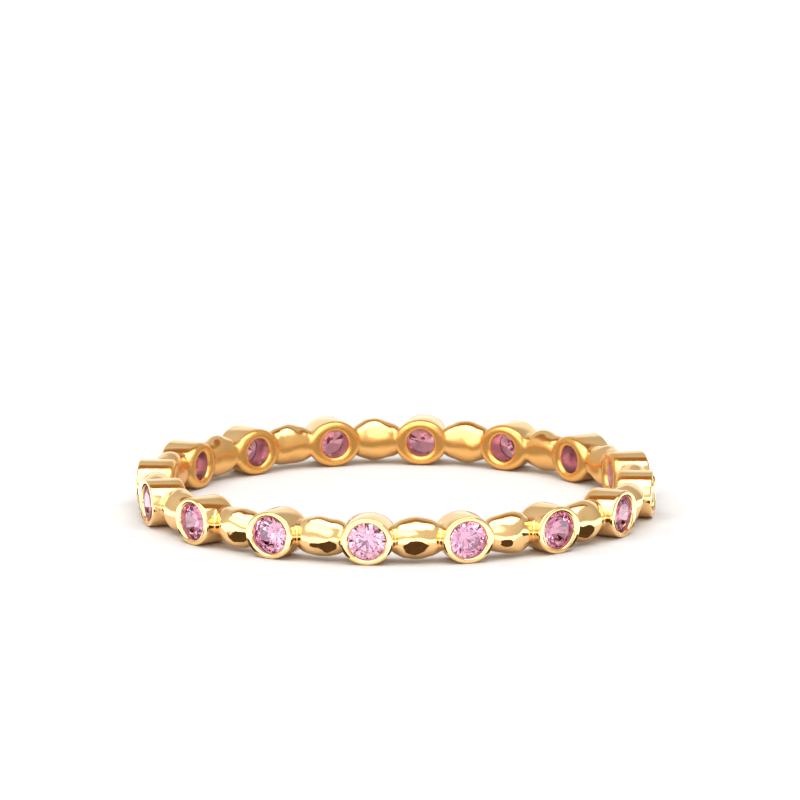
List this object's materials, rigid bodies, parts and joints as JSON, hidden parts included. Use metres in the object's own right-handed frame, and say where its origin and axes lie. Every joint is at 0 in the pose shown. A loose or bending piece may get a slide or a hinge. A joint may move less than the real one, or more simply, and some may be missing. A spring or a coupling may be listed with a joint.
{
  "type": "stackable ring",
  "caption": "Slim gold-coloured stacking ring: round pink stones in open-backed bezel cups, with a plain polished bead between each two cups.",
  "frame": {"origin": "on the ring's axis, at the lower edge that the ring rests on", "axes": "+Z along the ring's axis, which stands upright as the ring lies flat; -Y points from the axis to the middle of the cup of stone_01, and the stones are numbered in the direction from -Y to +X"},
  "size_m": [0.02, 0.02, 0.0018],
  "materials": {
    "gold": "polished gold plate",
    "pink_stone": "faceted, clear pink"
  },
  "bodies": {
    "root": {"band": "gold", "stone_01": "pink_stone", "stone_02": "pink_stone", "stone_03": "pink_stone", "stone_04": "pink_stone", "stone_05": "pink_stone", "stone_06": "pink_stone", "stone_07": "pink_stone", "stone_08": "pink_stone", "stone_09": "pink_stone", "stone_10": "pink_stone", "stone_11": "pink_stone", "stone_12": "pink_stone", "stone_13": "pink_stone", "stone_14": "pink_stone", "stone_15": "pink_stone", "stone_16": "pink_stone"}
  },
  "joints": []
}
